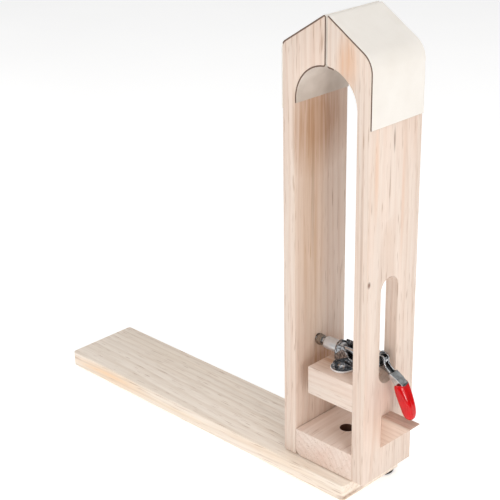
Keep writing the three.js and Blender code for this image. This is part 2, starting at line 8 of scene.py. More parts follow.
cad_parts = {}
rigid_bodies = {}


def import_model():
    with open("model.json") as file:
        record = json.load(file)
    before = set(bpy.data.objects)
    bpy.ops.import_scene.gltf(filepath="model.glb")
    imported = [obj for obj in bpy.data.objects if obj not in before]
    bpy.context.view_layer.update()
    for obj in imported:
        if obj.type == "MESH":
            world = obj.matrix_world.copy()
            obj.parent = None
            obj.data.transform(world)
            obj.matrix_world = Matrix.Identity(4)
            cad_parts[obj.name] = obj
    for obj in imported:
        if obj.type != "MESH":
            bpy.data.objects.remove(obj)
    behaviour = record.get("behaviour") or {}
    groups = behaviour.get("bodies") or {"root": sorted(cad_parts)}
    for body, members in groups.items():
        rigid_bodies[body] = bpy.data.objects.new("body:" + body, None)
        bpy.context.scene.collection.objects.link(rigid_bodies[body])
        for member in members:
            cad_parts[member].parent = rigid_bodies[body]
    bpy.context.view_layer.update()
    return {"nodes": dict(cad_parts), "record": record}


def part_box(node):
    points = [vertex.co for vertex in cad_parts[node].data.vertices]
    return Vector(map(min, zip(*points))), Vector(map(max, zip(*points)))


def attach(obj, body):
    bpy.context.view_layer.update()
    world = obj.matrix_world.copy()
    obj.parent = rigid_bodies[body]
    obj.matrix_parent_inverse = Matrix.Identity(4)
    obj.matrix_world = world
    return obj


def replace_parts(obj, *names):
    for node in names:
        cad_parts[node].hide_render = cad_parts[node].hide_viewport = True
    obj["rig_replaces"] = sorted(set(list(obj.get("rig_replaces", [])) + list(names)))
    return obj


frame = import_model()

MM = 0.001
WELD_DISTANCE = 2e-6             # metres; joins the split corners of a carried-over mesh


# ---------- camera, light and floor ----------
CAMERA_PLACE = (0.71722, -0.70930, 0.60080)
CAMERA_AZIMUTH = 44.70
CAMERA_ELEVATION = 23.27
CAMERA_ROLL = -0.954
LENS_MM = 93.83
SENSOR_MM = 36
SKY_STRENGTH = 0.53
LIGHT_TARGET = (0.05, 0, 0.18)
LIGHT_COLOUR = (1.0, 0.99, 0.975)
# Name, azimuth and elevation in degrees, distance and size in metres, power in watts.
LIGHTS = [("key", 78, 24, 1.4, (0.7, 1.0), 3.7), ("front", -6, 22, 1.5, (1.1, 0.9), 3.9),
          ("left", -80, 24, 1.6, (0.8, 0.9), 1.9), ("top", 20, 80, 1.3, (0.8, 0.8), 3.0),
          ("back", 165, 35, 1.5, (1.0, 0.8), 1.6), ("strip", 62, 9, 1.4, (0.16, 0.5), 3.6)]
FLOOR_GLOW = 0.36
FLOOR_REACH = 40.0               # metres, so that the horizon stays pale


def direction(azimuth, elevation):
    """Unit vector from the object towards a viewer; azimuth 0 is -Y."""
    a, e = math.radians(azimuth), math.radians(elevation)
    return Vector((math.sin(a) * math.cos(e), -math.cos(a) * math.cos(e), math.sin(e)))


def make_camera():
    back = direction(CAMERA_AZIMUTH, CAMERA_ELEVATION)
    right = Vector((0, 0, 1)).cross(back).normalized()
    up = back.cross(right)
    turn = Matrix((right, up, back)).transposed() @ Matrix.Rotation(math.radians(CAMERA_ROLL), 3, "Z")
    camera = bpy.data.objects.new("camera", bpy.data.cameras.new("camera"))
    camera.matrix_world = Matrix.Translation(CAMERA_PLACE) @ turn.to_4x4()
    camera.data.lens = LENS_MM
    camera.data.sensor_width = SENSOR_MM
    bpy.context.collection.objects.link(camera)
    bpy.context.scene.camera = camera


def area_light(name, azimuth, elevation, distance, size, power):
    light = bpy.data.lights.new(name, "AREA")
    light.shape = "RECTANGLE"
    light.size, light.size_y = size
    light.energy = power
    light.color = LIGHT_COLOUR
    way = direction(azimuth, elevation)
    aim = way.to_track_quat("Z", "Y").to_matrix().to_4x4()
    lamp = bpy.data.objects.new(name, light)
    lamp.matrix_world = Matrix.Translation(Vector(LIGHT_TARGET) + way * distance) @ aim
    bpy.context.collection.objects.link(lamp)


def make_world():
    """Soft sky, dimmer towards the horizon so that the plated parts have something dark to reflect."""
    world = bpy.data.worlds.new("studio")
    bpy.context.scene.world = world
    world.use_nodes = True
    tree = world.node_tree
    sky = tree.nodes["Background"]
    sky.inputs["Strength"].default_value = SKY_STRENGTH
    way = node(tree, "ShaderNodeSeparateXYZ", {0: node(tree, "ShaderNodeTexCoord").outputs["Generated"]})
    shade = ramp(tree, way.outputs["Z"], (0.0, 0.30), (0.12, 0.22), (0.3, 0.75), (0.55, 1.0))
    tree.links.new(shade, sky.inputs["Color"])


def make_studio():
    make_world()
    for row in LIGHTS:
        area_light(*row)
    floor = bpy.data.meshes.new("floor")
    corners = [(-1, -1), (1, -1), (1, 1), (-1, 1)]
    floor.from_pydata([(x * FLOOR_REACH, y * FLOOR_REACH, 0) for x, y in corners], [], [(0, 1, 2, 3)])
    plane = bpy.data.objects.new("floor", floor)
    bpy.context.collection.objects.link(plane)
    floor.materials.append(floor_look())
    view = bpy.context.scene.view_settings
    view.view_transform = "Standard"
    view.look = "None"
    view.exposure = 0.0


# ---------- shader helpers ----------
def node(tree, kind, inputs=None, **settings):
    made = tree.nodes.new(kind)
    for key, value in settings.items():
        setattr(made, key, value)
    for socket, value in (inputs or {}).items():
        if isinstance(value, bpy.types.NodeSocket):
            tree.links.new(value, made.inputs[socket])
        else:
            made.inputs[socket].default_value = value
    return made


def material(name, **constants):
    """Principled material with its constant sockets set, and its tree and shader."""
    made = bpy.data.materials.new(name)
    made.use_nodes = True
    shader = made.node_tree.nodes["Principled BSDF"]
    for socket, value in constants.items():
        shader.inputs[socket.replace("_", " ")].default_value = value
    return made, made.node_tree, shader


def srgb(red, green, blue):
    """Linear colour from 0-255 display values."""
    linear = [((c / 255 + 0.055) / 1.055) ** 2.4 if c > 10 else c / 255 / 12.92 for c in (red, green, blue)]
    return (*linear, 1)


def ramp(tree, factor, *stops):
    made = node(tree, "ShaderNodeValToRGB", {"Fac": factor})
    elements = made.color_ramp.elements
    while len(elements) < len(stops):
        elements.new(0.5)
    for element, (place, colour) in zip(elements, stops):
        element.position = place
        element.color = colour if isinstance(colour, tuple) else (colour, colour, colour, 1)
    return made.outputs["Color"]


def mix(tree, factor, first, second, blend="MIX"):
    made = node(tree, "ShaderNodeMix", data_type="RGBA", blend_type=blend, clamp_factor=True)
    for socket, value in ((0, factor), (6, first), (7, second)):
        if isinstance(value, bpy.types.NodeSocket):
            tree.links.new(value, made.inputs[socket])
        else:
            made.inputs[socket].default_value = value
    return made.outputs[2]


def maths(tree, operation, first, second=0.5, third=0.5):
    made = node(tree, "ShaderNodeMath", {0: first, 1: second, 2: third}, operation=operation)
    return made.outputs["Value"]


def mapped(tree, vector, scale=(1, 1, 1), place=(0, 0, 0), turn=(0, 0, 0)):
    made = node(tree, "ShaderNodeMapping",
                {"Vector": vector, "Location": place, "Rotation": turn, "Scale": scale})
    return made.outputs["Vector"]


def noise_of(tree, vector, scale, detail=2.0, roughness=0.5, output="Fac"):
    made = node(tree, "ShaderNodeTexNoise",
                {"Vector": vector, "Scale": scale, "Detail": detail, "Roughness": roughness})
    return made.outputs[output]


def object_coordinates(tree):
    return node(tree, "ShaderNodeTexCoord").outputs["Object"]


def bump(tree, shader, height, strength, distance):
    made = node(tree, "ShaderNodeBump", {"Height": height, "Strength": strength, "Distance": distance})
    tree.links.new(made.outputs["Normal"], shader.inputs["Normal"])


# ---------- materials ----------
def floor_look():
    made, tree, shader = material("floor", Roughness=0.9, Specular_IOR_Level=0.1,
                                  Emission_Color=(1, 1, 1, 1), Emission_Strength=FLOOR_GLOW)
    place = object_coordinates(tree)
    tone = ramp(tree, noise_of(tree, place, 3), (0.3, srgb(250, 250, 250)), (0.7, srgb(253, 253, 253)))
    tree.links.new(tone, shader.inputs["Base Color"])
    return made


GRAIN_TURN = {"X": Euler((0, -math.pi / 2, 0)), "Y": Euler((math.pi / 2, 0, 0)), "Z": Euler((0, 0, 0))}


def pine(name, grain, pith, lean=(0.0, 0.0), ring=4.2, pale=(233, 216, 203), dark=(212, 184, 164),
         tint=(230, 203, 188), contrast=1.0, tinges=()):
    """Sawn pine. The rings run round a pith line along the grain axis, leaning by two small angles.

    Tinges are places painted in another colour, each a centre and radii in millimetres, a colour and an
    amount; many of them are painted shade.
    """
    made, tree, shader = material(name, Specular_IOR_Level=0.35)
    tilt = Euler((math.radians(lean[0]), math.radians(lean[1]), 0)).to_matrix()
    turn = tilt @ GRAIN_TURN[grain].to_matrix()
    start = -(turn @ (Vector(pith) * MM))
    log = mapped(tree, object_coordinates(tree), place=start, turn=turn.to_euler())

    sway = noise_of(tree, mapped(tree, log, (1, 1, 0.16)), 22, 2.0, output="Color")
    centred = node(tree, "ShaderNodeVectorMath", {0: sway, 1: (0.5, 0.5, 0.5)}, operation="SUBTRACT")
    small = node(tree, "ShaderNodeVectorMath", {0: centred.outputs[0], "Scale": 0.013}, operation="SCALE")
    bent = node(tree, "ShaderNodeVectorMath", {0: log, 1: small.outputs[0]}, operation="ADD").outputs[0]
    rings = node(tree, "ShaderNodeTexWave",
                 {"Vector": bent, "Scale": 2 * math.pi / (20 * ring * MM), "Distortion": 0.6,
                  "Detail": 2.0, "Detail Scale": 0.6},
                 wave_type="RINGS", rings_direction="Z", wave_profile="SAW").outputs["Fac"]
    late = ramp(tree, rings, (0.0, 0.0), (0.55, 0.12), (0.86, 0.85), (1.0, 0.25))

    fibres = noise_of(tree, mapped(tree, bent, (1, 1, 0.012)), 1500, 3.0, 0.6)
    strands = noise_of(tree, mapped(tree, bent, (1, 1, 0.02)), 420, 2.0)
    broad = noise_of(tree, mapped(tree, log, (1, 1, 0.2)), 38, 3.0)
    pores = ramp(tree, noise_of(tree, mapped(tree, log, (1, 1, 0.05)), 900, 1.0), (0.64, 0.0), (0.73, 1.0))

    patch = maths(tree, "MULTIPLY", late, ramp(tree, broad, (0.3, 0.45), (0.7, 1.0)))
    colour = mix(tree, maths(tree, "MULTIPLY", patch, 0.75 * contrast), srgb(*pale), srgb(*dark))
    colour = mix(tree, ramp(tree, broad, (0.45, 0.0), (0.75, 0.55)), colour, srgb(*tint))
    colour = mix(tree, ramp(tree, strands, (0.35, 0.22), (0.6, 0.0)), colour, srgb(*dark))
    colour = mix(tree, maths(tree, "MULTIPLY", pores, 0.5), colour, srgb(168, 130, 102))
    shade = ramp(tree, fibres, (0.3, 0.93), (0.7, 1.0))
    colour = mix(tree, 1.0, colour, shade, "MULTIPLY")
    streaky = ramp(tree, strands, (0.35, 0.45), (0.65, 1.0))
    # Each tinge mixes its colour in round its centre along the strands; many are painted shade in hollows and
    # under the arch.
    for centre, radii, tinge_colour, amount in tinges:
        shrink = tuple(1 / (radius * MM) for radius in radii)
        inside = mapped(tree, object_coordinates(tree), shrink, tuple(-c / r for c, r in zip(centre, radii)))
        reach = node(tree, "ShaderNodeVectorMath", {0: inside}, operation="LENGTH").outputs["Value"]
        spot = maths(tree, "MULTIPLY", ramp(tree, reach, (0.3, 1.0), (1.0, 0.0)), streaky)
        colour = mix(tree, maths(tree, "MULTIPLY", spot, amount), colour, srgb(*tinge_colour))
    tree.links.new(colour, shader.inputs["Base Color"])

    rough = ramp(tree, fibres, (0.3, 0.68), (0.7, 0.52))
    tree.links.new(rough, shader.inputs["Roughness"])
    relief = maths(tree, "ADD", maths(tree, "MULTIPLY", fibres, 0.5), maths(tree, "MULTIPLY", late, 0.35))
    bump(tree, shader, relief, 0.35, 0.12 * MM)
    return made


def leather_face(name, dark, pale):
    made, tree, shader = material(name, Sheen_Weight=0.08, Sheen_Roughness=0.5)
    place = object_coordinates(tree)
    broad = noise_of(tree, place, 45, 3.0)
    cloud = ramp(tree, broad, (0.3, srgb(*dark)), (0.7, srgb(*pale)))
    cells = node(tree, "ShaderNodeTexVoronoi", {"Vector": place, "Scale": 1500},
                 feature="DISTANCE_TO_EDGE").outputs["Distance"]
    grain = ramp(tree, cells, (0.0, 0.0), (0.16, 1.0))
    pits = noise_of(tree, place, 2600, 2.0)
    colour = mix(tree, ramp(tree, cells, (0.0, 0.10), (0.12, 0.0)), cloud, srgb(214, 205, 192))
    tree.links.new(colour, shader.inputs["Base Color"])
    tree.links.new(ramp(tree, pits, (0.3, 0.5), (0.7, 0.66)), shader.inputs["Roughness"])
    relief = maths(tree, "ADD", maths(tree, "MULTIPLY", grain, 0.6), maths(tree, "MULTIPLY", pits, 0.4))
    bump(tree, shader, relief, 0.4, 0.06 * MM)
    return made


def leather_edge():
    made, tree, shader = material("leather_edge", Specular_IOR_Level=0.3)
    place = object_coordinates(tree)
    fibres = noise_of(tree, place, 2200, 3.0, 0.65)
    colour = ramp(tree, fibres, (0.3, srgb(84, 66, 56)), (0.7, srgb(132, 108, 94)))
    tree.links.new(colour, shader.inputs["Base Color"])
    tree.links.new(ramp(tree, fibres, (0.3, 0.9), (0.7, 0.7)), shader.inputs["Roughness"])
    bump(tree, shader, fibres, 0.5, 0.08 * MM)
    return made


def metal(name, colour, smooth, rough, streak_axis="Z", relief=0.1, painted_reflection_amount=0.6, painted_reflection_scale=260,
          metallic=1.0):
    """Plated steel with fine drawing marks along one axis and faint handling scratches; darker blotches in
    its colour are painted dark reflections.
    """
    made, tree, shader = material(name, Metallic=metallic)
    squeeze = {"X": (0.05, 1, 1), "Y": (1, 0.05, 1), "Z": (1, 1, 0.05)}[streak_axis]
    place = object_coordinates(tree)
    marks = noise_of(tree, mapped(tree, place, squeeze), 2400, 2.0)
    # One noise darkens the colour in blotches as painted dark reflections and roughens the surface there as
    # scuffs.
    scuffs_and_reflections = noise_of(tree, place, painted_reflection_scale, 3.0, 0.6)
    dark_reflection_colour = tuple((1 - 0.75 * painted_reflection_amount) * channel for channel in colour[:3]) + (1,)
    tone = mix(tree, ramp(tree, scuffs_and_reflections, (0.40, 0.0), (0.62, painted_reflection_amount)), colour, dark_reflection_colour)
    tree.links.new(tone, shader.inputs["Base Color"])
    spread = mix(tree, marks, (smooth, smooth, smooth, 1), (rough, rough, rough, 1))
    scuffed = mix(tree, ramp(tree, scuffs_and_reflections, (0.5, 0.0), (0.75, 0.5)), spread, (rough, rough, rough, 1))
    tree.links.new(scuffed, shader.inputs["Roughness"])
    bump(tree, shader, marks, relief, 0.02 * MM)
    return made


def vinyl():
    made, tree, shader = material("dipped_vinyl", Coat_Weight=1.0, Coat_Roughness=0.05, Coat_IOR=1.42,
                                  Specular_IOR_Level=0.03)
    place = object_coordinates(tree)
    flow = noise_of(tree, place, 120, 2.0)
    fine = noise_of(tree, place, 900, 2.0)
    colour = ramp(tree, flow, (0.3, srgb(186, 1, 6)), (0.7, srgb(212, 2, 9)))
    tree.links.new(colour, shader.inputs["Base Color"])
    tree.links.new(ramp(tree, fine, (0.35, 0.16), (0.7, 0.3)), shader.inputs["Roughness"])
    bump(tree, shader, flow, 0.25, 0.25 * MM)
    return made


def rubber():
    made, tree, shader = material("black_rubber", Specular_IOR_Level=0.35)
    place = object_coordinates(tree)
    fine = noise_of(tree, place, 1400, 3.0)
    dust = noise_of(tree, place, 180, 3.0, 0.6)
    colour = mix(tree, ramp(tree, dust, (0.5, 0.0), (0.8, 0.5)), srgb(26, 25, 24), srgb(58, 55, 52))
    tree.links.new(colour, shader.inputs["Base Color"])
    tree.links.new(ramp(tree, fine, (0.3, 0.9), (0.7, 0.72)), shader.inputs["Roughness"])
    bump(tree, shader, fine, 0.3, 0.1 * MM)
    return made


# ---------- mesh helpers ----------
def piece(name, mesh, looks, body, slot, *replaced):
    """Links a finished mesh as a visible piece that rides on a body."""
    made = bpy.data.objects.new(name, mesh)
    for look in looks:
        mesh.materials.append(look)
    bpy.context.collection.objects.link(made)
    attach(made, body)
    if replaced:
        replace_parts(made, *replaced)
    return made


def soften(mesh, angle=32):
    """Smooth shading that keeps real corners sharp."""
    mesh.polygons.foreach_set("use_smooth", [True] * len(mesh.polygons))
    mesh.set_sharp_from_angle(angle=math.radians(angle))


def add_bevel(made, width, segments, angle):
    """Round the edges that turn by more than an angle."""
    ease = made.modifiers.new("ease", "BEVEL")
    ease.width = width
    ease.segments = segments
    ease.limit_method = "ANGLE"
    ease.angle_limit = math.radians(angle)
    ease.use_clamp_overlap = True
    ease.harden_normals = False


def ease_edges(made, width, segments, angle):
    """Weld, merge flat triangles and round the corners of a carried-over solid."""
    made.modifiers.new("weld", "WELD").merge_threshold = WELD_DISTANCE
    flat = made.modifiers.new("flat", "DECIMATE")
    flat.decimate_type = "DISSOLVE"
    flat.angle_limit = math.radians(0.6)
    add_bevel(made, width, segments, angle)


def working_copy(node_name):
    """A carried-over solid as a loose object without materials; the CAD node isn't touched."""
    working = bpy.data.objects.new("working", frame["nodes"][node_name].data.copy())
    working.data.materials.clear()
    bpy.context.collection.objects.link(working)
    return working


def finished(working):
    """The mesh of a working object with its modifiers applied. The object is removed."""
    graph = bpy.context.evaluated_depsgraph_get()
    graph.update()
    mesh = bpy.data.meshes.new_from_object(working.evaluated_get(graph))
    bpy.data.objects.remove(working)
    return mesh


def eased_copy(node_name, new_name, look, slot, width, segments=2, angle=35):
    """A carried-over solid with rounded corners, standing for its CAD node."""
    working = working_copy(node_name)
    ease_edges(working, width, segments, angle)
    mesh = finished(working)
    mesh.name = new_name
    soften(mesh)
    return piece(new_name, mesh, [look], BODY_OF[node_name], slot, node_name)


def read_bodies():
    bodies = {}
    for body, nodes in frame["record"]["behaviour"]["bodies"].items():
        for name in nodes:
            bodies[name] = body
    return bodies


BODY_OF = read_bodies()


# ---------- wood ----------
BROWN = (150, 108, 78)
TAN = (214, 160, 116)
INNER_FACE = 30                  # mm from the swivel axis to the inner face of an upright
HOLE_REACH = 9                   # mm from the swivel axis to just past the counterbore
BOARD_ROUND = 0.45               # mm, sanded edges


def make_wood():
    swivel_x = middle("swivel_bolt", "Z").x / MM
    inner, shade_x = swivel_x + INNER_FACE, swivel_x - INNER_FACE
    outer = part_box("right_jaw")[1][0] / MM
    plank = [((-138, -37, 10), (66, 4, 9), (246, 200, 146), 0.62),
             ((-40, -37, 8), (60, 5, 6), (240, 212, 172), 0.3),
             ((60, -37, 13), (80, 4, 5), (236, 200, 160), 0.3),
             ((150, -30, 6), (8, 30, 2.5), BROWN, 0.8)]
    # Right upright: tan and brown marks on the outer face round the slot line, a small dark spot on the outer
    # face, a brown line down the front by the outer corner, a tan patch on the front by the inner edge near
    # the top, and painted shade on the inner face under the arch.
    right = [((outer - 1, -18, 280), (6, 3.5, 50), (222, 172, 132), 0.5),
             ((outer, 2, 301), (4, 1.4, 12), (120, 84, 62), 0.8),
             ((outer, -2, 268), (4, 1.0, 30), BROWN, 0.45),
             ((outer, 14, 250), (6, 3, 60), TAN, 0.35),
             ((swivel_x + 20, -28, 358), (12, 6, 28), TAN, 0.8),
             ((outer, -24, 193), (3, 2.4, 3.4), (108, 66, 42), 1.0),
             ((outer - 6, -28, 215), (1.6, 4, 150), BROWN, 0.6),
             ((inner, 0, 300), (4, 34, 34), (178, 134, 98), 0.6)]
    # Left upright: painted shade on the inner face under the arch, down the face and low behind the blocks,
    # with a narrow darker streak.
    left = [((shade_x, 0, 300), (5, 44, 46), (166, 120, 84), 0.85),
            ((shade_x, -8, 220), (5, 24, 190), (190, 152, 116), 0.6),
            ((shade_x, -6, 240), (3, 2.4, 70), (132, 100, 74), 0.3),
            ((shade_x, 10, 92), (5, 34, 26), (168, 118, 76), 0.8)]
    rest_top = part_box("handle_rest")[1][2] / MM
    # Painted shade on the rest: darker where it meets the upright, and the handle's shadow painted on its
    # top.
    rest = [((outer, -22, rest_top - 14), (11, 14, 26), (184, 138, 106), 0.75),
            ((outer + 14, 0, rest_top), (40, 30, 3.5), (158, 122, 104), 0.6)]
    boards = {
        "base_plank": pine("pine_plank", "X", (0, -46, 60), (0.3, 2.4), 6.4, (253, 241, 228), (212, 190, 168),
                           (247, 230, 211), 0.8, plank),
        "lower_block": pine("pine_lower_block", "Y", (60, 0, -40), (1, 2), 5.6, (240, 222, 210),
                            tint=(230, 196, 180), contrast=0.7),
        # The tinge on the clamp block's top is painted shade between the uprights.
        "clamp_block": pine("pine_clamp_block", "X", (60, -60, 20), (2, 1), 5.5, contrast=0.6,
                            tinges=[((118, -2, 105), (40, 26, 3), (176, 124, 84), 0.75)]),
        "handle_rest": pine("pine_rest", "X", (180, -22, 20), (1, -2), 4.0, (228, 204, 188), (200, 164, 142),
                            tint=(222, 190, 172), contrast=0.6, tinges=rest),
        "right_jaw": pine("pine_right_jaw", "Z", (inner - 45, -6, 0), (0.5, 1.3), 4.4, tint=(236, 205, 186),
                          tinges=right),
        "left_jaw": pine("pine_left_jaw", "Z", (20, 60, 0), (0.8, -0.6), 4.2, tint=(228, 198, 180),
                         tinges=left),
    }
    for name, look in boards.items():
        board = eased_copy(name, name + "_wood", look, "pine", BOARD_ROUND * MM)
        if name == "lower_block":
            darken_hole(board)


def darken_hole(board):
    """The wall of the counterbored hole is painted dark brown as shade inside the hole."""
    board.data.materials.append(pine("pine_painted_hole_shade", "Z", (100, 0, 0), pale=(96, 62, 44), dark=(64, 40, 30),
                                     tint=(84, 54, 38)))
    axis = middle("swivel_bolt", "Z")
    for polygon in board.data.polygons:
        away = (polygon.center - axis).xy.length
        if abs(polygon.normal.z) < 0.5 and away < HOLE_REACH * MM:
            polygon.material_index = 1


# ---------- turned, threaded and hexagonal metal ----------
LARGEST_FACE = 80                # corners; a larger cap is cut into triangles


def mesh_of(name, points, faces, angle=32):
    mesh = bpy.data.meshes.new(name)
    mesh.from_pydata(points, [], faces)
    work = bmesh.new()
    work.from_mesh(mesh)
    bmesh.ops.recalc_face_normals(work, faces=work.faces)
    bmesh.ops.triangulate(work, faces=[face for face in work.faces if len(face.verts) > LARGEST_FACE])
    work.to_mesh(mesh)
    work.free()
    soften(mesh, angle)
    return mesh


def rings_mesh(name, rings, closed=False, angle=32):
    """Skin over rings of equal length; the ends are capped, or joined to each other when closed."""
    count = len(rings[0])
    points = [point for ring in rings for point in ring]
    faces = []
    last = len(rings) if closed else len(rings) - 1
    for i in range(last):
        a, b = i * count, ((i + 1) % len(rings)) * count
        for k in range(count):
            n = (k + 1) % count
            faces.append((a + k, a + n, b + n, b + k))
    if not closed:
        faces.append(tuple(range(count)))
        faces.append(tuple(range((len(rings) - 1) * count, len(rings) * count)))
    return mesh_of(name, points, faces, angle)


def along(axis, radius, angle, height):
    """Point at a radius, angle and height about the X, Y or Z axis."""
    u, v = radius * math.cos(angle), radius * math.sin(angle)
    return {"X": (height, u, v), "Y": (u, height, v), "Z": (u, v, height)}[axis]


def lathe(name, axis, centre, profile, sides=64, bore=False):
    """Turned solid from (radius, height) pairs in millimetres; with a bore the profile closes on itself."""
    rings = []
    for radius, height in profile:
        ring = [along(axis, radius * MM, 2 * math.pi * k / sides, height * MM) for k in range(sides)]
        rings.append([tuple(Vector(p) + Vector(centre)) for p in ring])
    return rings_mesh(name, rings, closed=bore)


def rounded(profile, radius, steps=3):
    """Profile whose inner corners are replaced by short curves."""
    made = [profile[0]]
    for before, corner, after in zip(profile, profile[1:], profile[2:]):
        here, back, on = Vector(corner), Vector(before), Vector(after)
        reach = min(radius, 0.45 * (back - here).length, 0.45 * (on - here).length)
        start = here + (back - here).normalized() * reach
        end = here + (on - here).normalized() * reach
        for k in range(steps + 1):
            t = k / steps
            made.append(tuple(start * (1 - t) ** 2 + here * 2 * t * (1 - t) + end * t ** 2))
    made.append(profile[-1])
    return made


def chamfered_nut(name, axis, centre, flats, bore, low, high, sides=72):
    """Hexagon nut whose corners are turned off at 30 degrees on both faces."""
    def hexagon(angle):
        return flats / 2 / math.cos((angle % (math.pi / 3)) - math.pi / 6)

    crown = flats / 2 * 0.97
    countersink_width, countersink_depth = 0.35, 0.3
    mouth = bore + countersink_width
    slope = math.tan(math.radians(30))
    rings = []
    for radius, end in ((bore, low), (mouth, low), (crown, low), (None, low),
                        (None, high), (crown, high), (mouth, high), (bore, high)):
        ring = []
        for k in range(sides):
            angle = 2 * math.pi * k / sides
            reach = hexagon(angle) if radius is None else radius
            inset = (reach - crown) * slope if radius is None else 0
            if radius == bore:
                inset = countersink_depth
            height = end + inset if end == low else end - inset
            ring.append(tuple(Vector(along(axis, reach * MM, angle, height * MM)) + Vector(centre)))
        rings.append(ring)
    return rings_mesh(name, rings, closed=True, angle=25)


def threaded_rod(name, axis, centre, radius, low, high, pitch=0.7, sides=28):
    """Rod with a helical V thread and blunt pointed ends."""
    depth, per_turn = 0.28, 6
    steps = int((high - low) / pitch * per_turn)
    rings = []
    for i in range(steps + 1):
        height = low + (high - low) * i / steps
        blunt = min(1.0, (height - low + 0.2) / 0.8, (high - height + 0.2) / 0.8)
        ring = []
        for k in range(sides):
            turn = (height / pitch + k / sides) % 1.0
            reach = (radius - depth * abs(2 * turn - 1)) - 0.5 * (1 - blunt)
            ring.append(tuple(Vector(along(axis, reach * MM, 2 * math.pi * k / sides, height * MM))
                              + Vector(centre)))
        rings.append(ring)
    return rings_mesh(name, rings, angle=50)


def stamped_copy(node_name, new_name, looks, slot, voxel, rounds):
    """A carried-over solid with the soft inner and outer corners of pressed steel."""
    working = working_copy(node_name)
    working.modifiers.new("weld", "WELD").merge_threshold = WELD_DISTANCE
    grid = working.modifiers.new("grid", "REMESH")
    grid.mode = "VOXEL"
    grid.voxel_size = voxel * MM
    grid.use_smooth_shade = True
    smooth = working.modifiers.new("smooth", "SMOOTH")
    smooth.iterations = rounds
    smooth.factor = 0.5
    thin = working.modifiers.new("thin", "DECIMATE")
    thin.decimate_type = "DISSOLVE"
    thin.angle_limit = math.radians(1.5)
    mesh = finished(working)
    soften(mesh, 60)
    return piece(new_name, mesh, looks, BODY_OF[node_name], slot, node_name)


def middle(node_name, axis):
    """Centre of a node across an axis, with that axis at zero."""
    low, high = (Vector(corner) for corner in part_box(node_name))
    centre = (low + high) / 2
    centre["XYZ".index(axis)] = 0
    return centre


def span(node_name, axis):
    """Lowest and highest value of a node along an axis, in millimetres."""
    low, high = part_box(node_name)
    return low["XYZ".index(axis)] / MM, high["XYZ".index(axis)] / MM


def turned_part(node_name, axis, look, slot, profile, bore=False, sides=64):
    mesh = lathe(node_name, axis, middle(node_name, axis), profile, sides, bore)
    return piece(node_name + "_part", mesh, [look], BODY_OF[node_name], slot, node_name)


def make_spindle(bright, dull, satin):
    low, high = span("clamp_barrel", "X")
    radius = (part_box("clamp_barrel")[1][2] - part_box("clamp_barrel")[0][2]) / 2 / MM
    shell = [(3.2, low), (4.1, low), (radius, low + 1.1), (radius, high - 0.5), (radius - 0.5, high),
             (3.2, high)]
    turned_part("clamp_barrel", "X", satin, "zinc", rounded(shell, 0.5), bore=True)

    low, high = span("spindle_washer", "X")
    flat = [(2.15, low), (5.7, low), (6, low + 0.25), (6, high - 0.25), (5.7, high), (2.15, high)]
    turned_part("spindle_washer", "X", bright, "zinc", flat, bore=True)

    for name in ("spindle_nut_inner", "spindle_nut_outer"):
        low, high = span(name, "X")
        mesh = chamfered_nut(name, "X", middle(name, "X"), 8, 2.05, low, high)
        piece(name + "_part", mesh, [dull], BODY_OF[name], "zinc", name)

    low, high = span("spindle_stud", "X")
    mesh = threaded_rod("spindle_stud", "X", middle("spindle_stud", "X"), 2, low, high)
    piece("spindle_stud_part", mesh, [bright], BODY_OF["spindle_stud"], "zinc", "spindle_stud")
    eased_copy("plunger_rod", "plunger_rod_part", bright, "zinc", 0.3 * MM, 3, 30)


def make_feet(black):
    for name in ("foot_far_left", "foot_far_right", "foot_near_left", "foot_near_right"):
        low, high = span(name, "Z")
        pad = [(0.01, low + 0.7), (4.5, low + 0.7), (5.6, low), (8.8, low), (10, low + 0.9), (9.7, high),
               (0.01, high)]
        turned_part(name, "Z", black, "rubber", rounded(pad, 0.5))


# ---------- grip, lever and bracket ----------
# Millimetres from the swivel axis in X and from the floor in Z. The grip and the neck follow the
# photo here and don't repeat the CAD stations.
# Grip stations: centre x and z, half depth across the handle, half width in Y.
GRIP_PATH = [(55.9, 104.4, 5.2, 6.6), (56.6, 103, 6.0, 7.2), (58.4, 98.8, 6.5, 7.2), (60.8, 93.4, 6.7, 6.7),
             (63.0, 88.4, 6.5, 6.2), (64.6, 84, 5.9, 5.8), (65.7, 80.9, 4.9, 5.0), (66.4, 78.9, 3.5, 3.6),
             (66.7, 77.7, 1.4, 1.6)]
NECK_START = (47.2, 111.4)
NECK_END = (58.5, 101.1)
# The web is a dark sheet between the rails that stands for painted shade.
WEB_PATH = [(41.8, 114.6), (43.4, 112.8), (46.2, 110.9), (49, 109.2)]
GRIP_SIDES = 72
GRIP_SQUARENESS = 9              # exponent of the section; higher is more faceted
VALLEY_WIDTH = 0.36
VALLEY_DEPTH = 0.3               # share of the half depth
RIM_WAVE = 1.5                   # mm
NECK_SLIM = 0.22                 # share of the neck's width that is taken away
NECK_TAIL = 1.25                 # reshaped length, as a share of the neck
DISH_DEPTH = 1.5                 # mm
DISH_HALF_WIDTH = 4.0            # mm
WEB_HALF_WIDTH = 2.3             # mm, between the rails
WEB_THICKNESS = 0.9              # mm


def smooth_between(values, steps):
    """Catmull-Rom curve through a list of tuples."""
    ends = [values[0]] + list(values) + [values[-1]]
    made = []
    for i in range(1, len(ends) - 2):
        p0, p1, p2, p3 = (Vector(ends[i + k]) for k in (-1, 0, 1, 2))
        for k in range(steps):
            t = k / steps
            made.append(0.5 * (2 * p1 + (p2 - p0) * t + (2 * p0 - 5 * p1 + 4 * p2 - p3) * t * t
                               + (3 * p1 - p0 - 3 * p2 + p3) * t ** 3))
    made.append(Vector(values[-1]))
    return made


